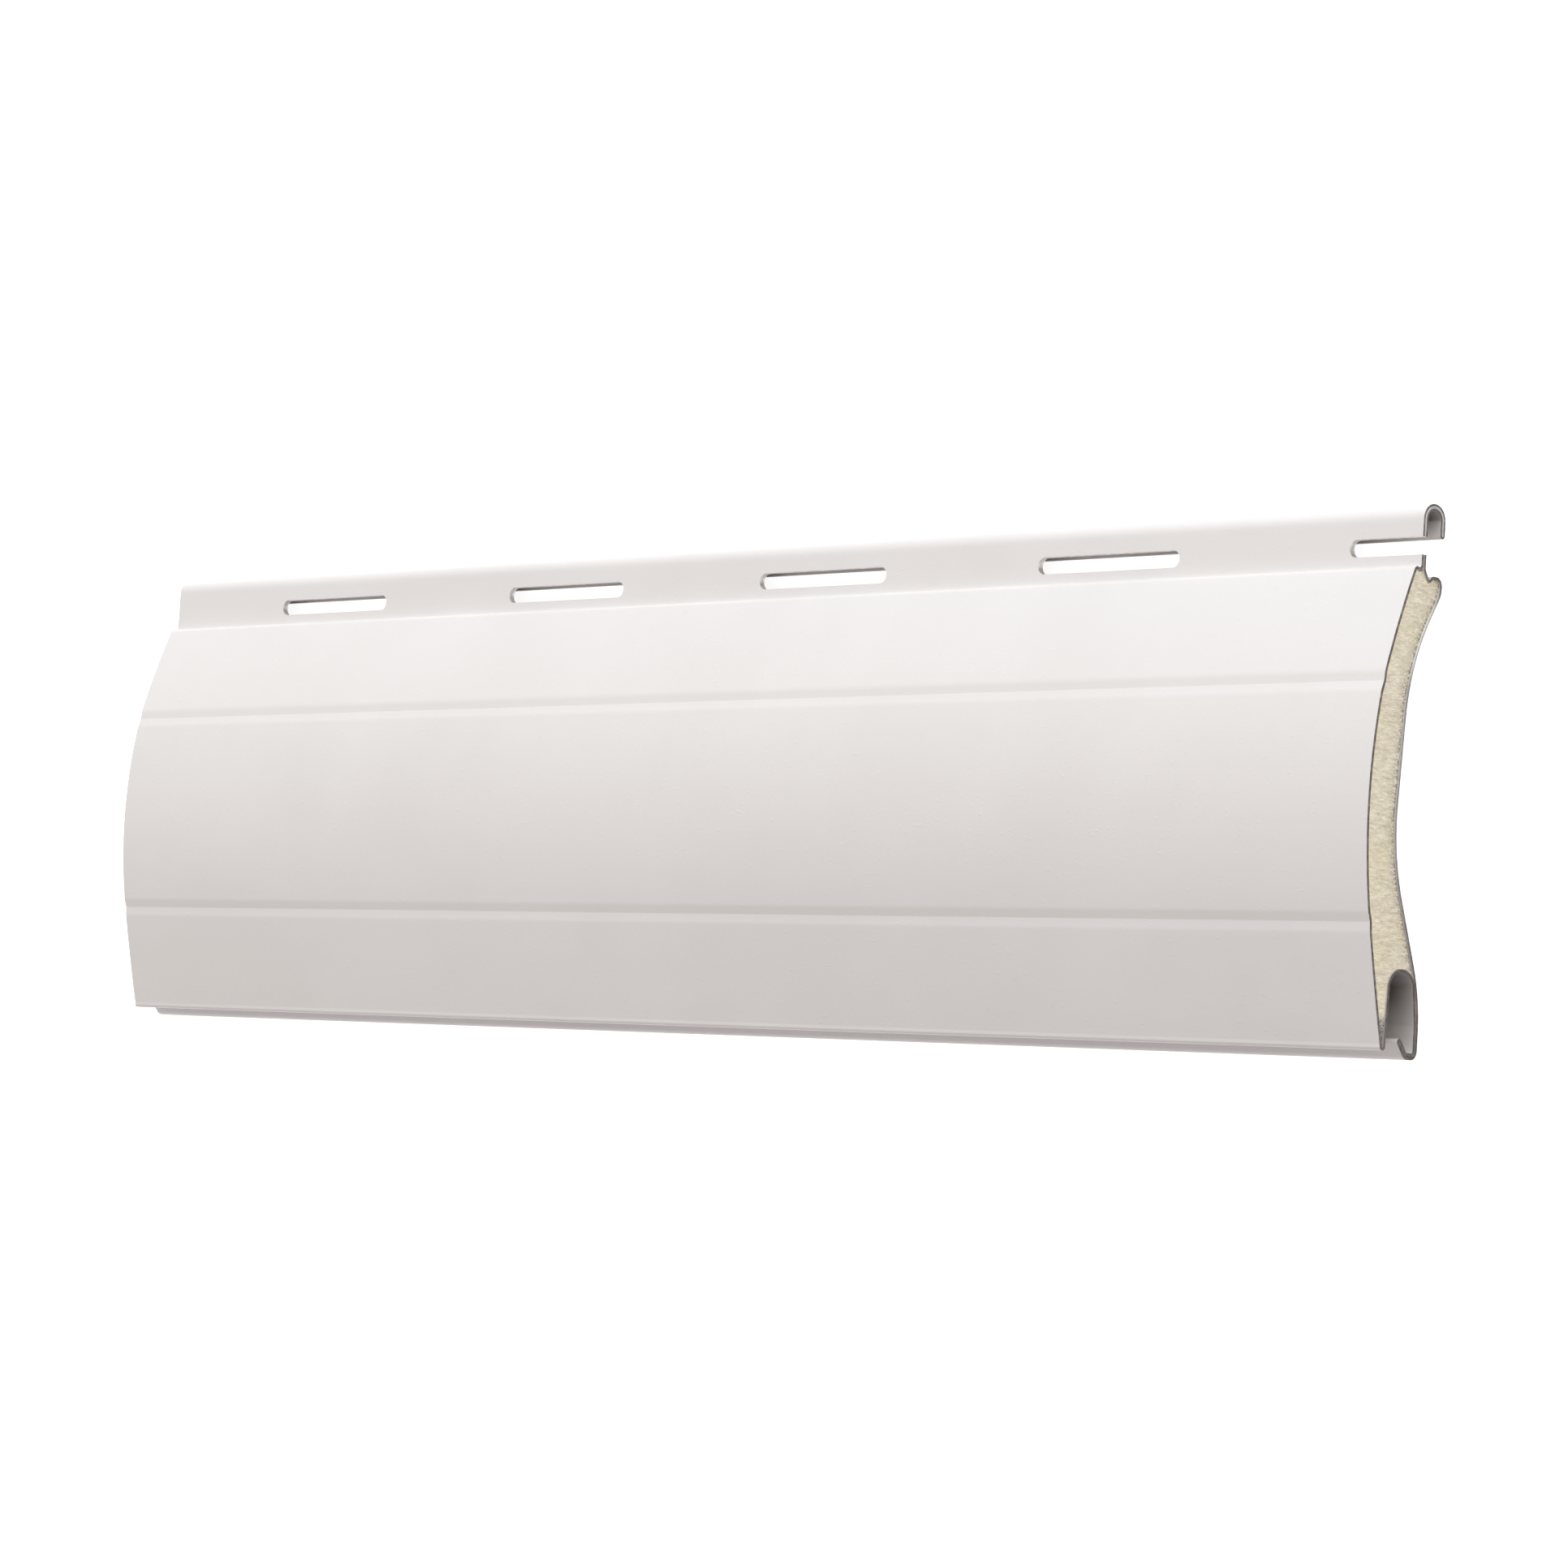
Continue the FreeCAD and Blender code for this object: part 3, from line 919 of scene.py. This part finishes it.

# %% [markdown]
# ### Lacquer
# The strip is stove-enamelled off-white before it is rolled: satin, with a fine orange peel,
# tiny dimples and very slight clouding. A plain off-white would look like plastic. The peel
# and the dimples are a bump of under two hundredths of a millimetre at about a millimetre's
# spacing, and the gloss varies a little. In the hollows the paint is darkened as painted
# shade, most of all a few millimetres behind the saw cut.

# %% Lacquer material
lacquer, tree, shader = new_material("off_white_lacquer")
clouds = placed(tree, speckles, Scale=60, From=0.35, To=0.7)
grime = placed(tree, speckles, Scale=900, From=0.66, To=0.8)
off_white, clouded_white, grimy_white = (0.795, 0.764, 0.738), (0.775, 0.744, 0.717), (0.66, 0.63, 0.6)
painted_shade_brown = (0.13, 0.115, 0.1)
specked = mixed(tree, grime, mixed(tree, clouds, off_white, clouded_white), grimy_white, 0.15)
# Painted shade in the hollows: weak at the saw cut, strongest a few millimetres in, gone 15 mm in.
shade_reach = computed(tree, "MULTIPLY", deep_in(tree, 4 * MM, 0.45, 1.5),
                      deep_in(tree, 15 * MM, 1.0, 0.0))
shade_here = computed(tree, "MULTIPLY", attribute(tree, "dusty"), shade_reach)
tree.links.new(mixed(tree, shade_here, specked, painted_shade_brown), shader.inputs["Base Color"])
peel = placed(tree, relief_group, Coarse=900, Fine=2600, Share_of_fine=0.35)
tree.links.new(ranged(tree, peel, 0.36, 0.46), shader.inputs["Roughness"])
dimples = placed(tree, speckles, Stretch=(1, 1.6, 1), Scale=1300, From=0.62, To=0.7)
uneven = tree.nodes.new("ShaderNodeMix")
uneven.inputs["Factor"].default_value = 0.4
tree.links.new(peel, uneven.inputs["A"])
tree.links.new(dimples, uneven.inputs["B"])
height_bump(tree, shader, uneven.outputs["Result"], 0.018 * MM)
skin.data.materials.append(lacquer)
print("made", lacquer.name)

# %% [markdown]
# ### Sawn and punched metal
# A saw cut through thin painted aluminium is dull and brown-grey: smeared metal, torn
# lacquer and dust, with fine lines across the thickness and a few bright spots. A punch
# leaves a cleaner, lighter wall. Both are part metal and part dirt, so one function makes
# them, with two shades as its input, and the metallic value itself is patchy.

# %% Cut edge materials
glint_grey, edge_shade_brown = (0.45, 0.43, 0.41), (0.045, 0.036, 0.03)
hairline_highlight_grey, rubbed_grey = (0.66, 0.64, 0.62), (0.82, 0.8, 0.77)


def cut_metal(name, light, dark, metallic):
    """Patchy cut metal between two colours, with glints, painted shade by the hollows, and painted
    highlights on hairlines and one stretch.
    """
    material, tree, shader = new_material(name)
    dirt = placed(tree, speckles, Scale=1500, From=0.42, To=0.6)
    glints = placed(tree, speckles, Scale=2600, From=0.6, To=0.72)
    dull = mixed(tree, dirt, light, dark)
    flecked = mixed(tree, glints, dull, glint_grey, 0.5)
    # Painted shade: cut edges by the channel and the hook's hollows are darkened here.
    shade_darkened = mixed(tree, attribute(tree, "dusty"), flecked, edge_shade_brown, 0.6)
    # Painted highlight: a bright line at the unpainted side of each cut edge, partly lighter bare metal.
    hairline_highlight_mask = stepped(tree, attribute(tree, "hairline"), 0.6, 0.95)
    lined = mixed(tree, hairline_highlight_mask, shade_darkened, hairline_highlight_grey, 0.85)
    # Painted highlight: the stretch of the back skin's edge below the bead is made bright.
    bright = mixed(tree, attribute(tree, "rubbed"), lined, rubbed_grey, 0.9)
    tree.links.new(bright, shader.inputs["Base Color"])
    tree.links.new(ranged(tree, glints, *metallic), shader.inputs["Metallic"])
    saw_lines = placed(tree, relief_group, Stretch=(1, 1, 0.25), Coarse=2500, Fine=9000)
    tree.links.new(ranged(tree, saw_lines, 0.4, 0.65), shader.inputs["Roughness"])
    height_bump(tree, shader, saw_lines, 0.03 * MM)
    return material


sawn_metal = cut_metal("sawn_aluminium", (0.13, 0.108, 0.096), (0.065, 0.052, 0.045), (0.3, 0.7))
punched_metal = cut_metal("punched_aluminium", (0.82, 0.79, 0.76), (0.6, 0.575, 0.55), (0.8, 0.95))
skin.data.materials.append(sawn_metal)
skin.data.materials.append(punched_metal)
print("made", sawn_metal.name, "and", punched_metal.name)

# %% [markdown]
# ### Foam
# Polyurethane foam is cream, yellower in patches where it is denser, with fibres torn
# across the section by the saw. Along the back skin it is dirty with grey metal dust, and
# the thin foot is full of swarf. Both follow the piece, so they read attributes that are
# worked out from the distance to the back skin and to the foot.

# %% Dust and swarf on the foam
back_dust_reach, back_dust_from = 0.5, 6.5
swarf_top, swarf_fade = 3.3, 0.9
places = np.empty(len(foam.data.vertices) * 3, np.float32)
foam.data.vertices.foreach_get("co", places)
places = places.reshape(-1, 3) / MM
heights, depths = places[:, 1] + section_middle, places[:, 2]
back_gap = depths - np.interp(heights, back_rising[:, 0], back_rising[:, 1])
near_back = np.exp(-np.clip(back_gap, 0, None) / back_dust_reach) * (heights > back_dust_from)
near_foot = np.clip((swarf_top - heights) / swarf_fade, 0, 1)
for mark, values in (("dust", np.maximum(near_back, near_foot)), ("swarf", near_foot)):
    foam.data.attributes.new(mark, "FLOAT", "POINT").data.foreach_set("value", values.astype(np.float32))
print("share of the foam's places with dust:", round(float((near_back > 0.5).mean()), 2))

# %% Foam material
foam_material, tree, shader = new_material("sawn_foam")
across_fibres = (1, 3.2, 0.8)
deep_cream, light_cream, torn_cream = (0.66, 0.585, 0.44), (0.93, 0.865, 0.71), (1.0, 0.955, 0.84)
dense_yellow, pore_brown = (0.86, 0.76, 0.46), (0.42, 0.36, 0.25)
swarf_grey, metal_dust = (0.45, 0.43, 0.4), (0.135, 0.132, 0.112)
fibres = placed(tree, relief_group, Stretch=across_fibres, Coarse=900, Fine=2600, Share_of_fine=0.5)
patches = placed(tree, speckles, Scale=260, From=0.5, To=0.75)
pores = placed(tree, speckles, Stretch=(1, 2.5, 1), Scale=1500, From=0.6, To=0.7)
streaks = placed(tree, speckles, Stretch=(1, 4, 1.2), Scale=1300, From=0.55, To=0.66)
dust_specks = placed(tree, speckles, Stretch=(1, 1.6, 1), Scale=3400, From=0.44, To=0.57)
cream = mixed(tree, stepped(tree, fibres, 0.3, 0.7), deep_cream, light_cream)
streaked = mixed(tree, streaks, cream, torn_cream, 0.6)
yellowed = mixed(tree, patches, streaked, dense_yellow, 0.3)
porous = mixed(tree, pores, yellowed, pore_brown, 0.22)
greyed = mixed(tree, attribute(tree, "swarf"), porous, swarf_grey, 0.8)
dirty = computed(tree, "MULTIPLY", attribute(tree, "dust"), ranged(tree, dust_specks, 0.16, 1.0))
tree.links.new(mixed(tree, dirty, greyed, metal_dust, 0.9), shader.inputs["Base Color"])
shader.inputs["Roughness"].default_value = 0.95
shader.inputs["Specular IOR Level"].default_value = 0.15
height_bump(tree, shader, fibres, 0.12 * MM)
foam.data.materials.append(foam_material)
print("made", foam_material.name)

# %% [markdown]
# ## Floor, light and camera
# A product picture on white. The main light is two large soft boxes beyond the hook, so the
# front skin darkens evenly from hook to foot. A small box lights the sawn end, a weak warm
# one comes from above the left, and a dim world fills the rest. The floor is pale and
# takes a soft shadow. A white picture could come from more light, but that would bleach the
# lacquer. So white is added only for the rays of the camera and of reflections.


# %% Floor, with a switch for rays that see the background
floor_half_width, floor_level = 3.0, -0.0001


def background_rays(tree):
    """1 for a camera, glossy or transmission ray and 0 for the light that falls on things."""
    ray = tree.nodes.new("ShaderNodeLightPath")
    seen = ray.outputs["Is Camera Ray"]
    for kind in ("Is Glossy Ray", "Is Transmission Ray"):
        seen = computed(tree, "MAXIMUM", seen, ray.outputs[kind])
    return seen


floor_mesh = bpy.data.meshes.new("floor")
floor_corners = floor_half_width * np.array([[-1, -1, 0], [1, -1, 0], [1, 1, 0], [-1, 1, 0]])
floor_corners[:, 2] = floor_level
floor_mesh.from_pydata(floor_corners.tolist(), [], [(0, 1, 2, 3)])
floor = bpy.data.objects.new("floor", floor_mesh)
bpy.context.scene.collection.objects.link(floor)
floor_material, tree, shader = new_material("pale_floor")
shader.inputs["Base Color"].default_value = (0.95, 0.95, 0.95, 1)
shader.inputs["Roughness"].default_value = 0.9
shader.inputs["Emission Color"].default_value = (1, 1, 1, 1)
floor_glow = ranged(tree, background_rays(tree), 0.0, 0.87)
tree.links.new(floor_glow, shader.inputs["Emission Strength"])
floor.data.materials.append(floor_material)
print("floor", 2 * floor_half_width, "m wide, at", floor_level / MM, "mm")


# %% World and lamps
def soft_box(name, place, aim, size, power, colour):
    """Area lamp at a place, turned to face a point."""
    data = bpy.data.lights.new(name, "AREA")
    data.shape = "RECTANGLE"
    data.size, data.size_y = size
    data.energy = power
    data.color = colour
    lamp = bpy.data.objects.new(name, data)
    lamp.location = place
    facing = np.subtract(aim, place)
    yaw = math.atan2(facing[0], -facing[1])
    lamp.rotation_euler = (math.acos(-facing[2] / np.linalg.norm(facing)), 0, yaw + math.pi)
    bpy.context.scene.collection.objects.link(lamp)
    return lamp


world = bpy.data.worlds.new("studio")
world.use_nodes = True
background = world.node_tree.nodes["Background"]
seen_directly = background_rays(world.node_tree)
sky_colour = mixed(world.node_tree, seen_directly, (0.475, 0.443, 0.45), (1.0, 1.0, 1.0))
world.node_tree.links.new(sky_colour, background.inputs["Color"])
bpy.context.scene.world = world
lamps = [
    soft_box("left_box", (-0.15, 0.85, 0.55), (0, 0, 0), (1.0, 0.6), 4.4, (0.86, 1.0, 1.18)),
    soft_box("right_box", (0.45, 0.85, 0.5), (0, 0, 0), (0.9, 0.6), 3.8, (0.95, 1.0, 1.04)),
    soft_box("end_box", (0.9, 0.25, 0.3), (0.08, 0, 0), (0.5, 0.5), 1.1, (1.0, 1.0, 0.82)),
    soft_box("top_box", (-0.35, 0.25, 0.55), (0.01, -0.01, 0), (0.3, 0.3), 0.6, (1.1, 1.0, 0.7)),
]
bpy.context.scene.view_settings.view_transform = "Standard"
print("lamps:", [lamp.name for lamp in lamps])

# %% [markdown]
# The photograph was taken with a long lens, turned half towards the sawn end and looking
# down at a little under 45 degrees. A camera could be moved by eye until it fits. This one
# was worked out from the slat's parallel edges, which fixes its place, turn and lens at once.

# %% Camera
camera_data = bpy.data.cameras.new("camera")
camera = bpy.data.objects.new("camera", camera_data)
bpy.context.scene.collection.objects.link(camera)
bpy.context.scene.camera = camera
image_width = 1932
focal_pixels = 6349.2
camera_data.sensor_width = 36
camera_data.lens = camera_data.sensor_width * focal_pixels / image_width
camera_data.clip_start = 0.01
camera.location = (0.395839, -0.039876, 0.373020)
camera.rotation_euler = [math.radians(a) for a in (8.0687, 45.7317, 5.2241)]
print("lens in mm:", round(camera_data.lens, 1))
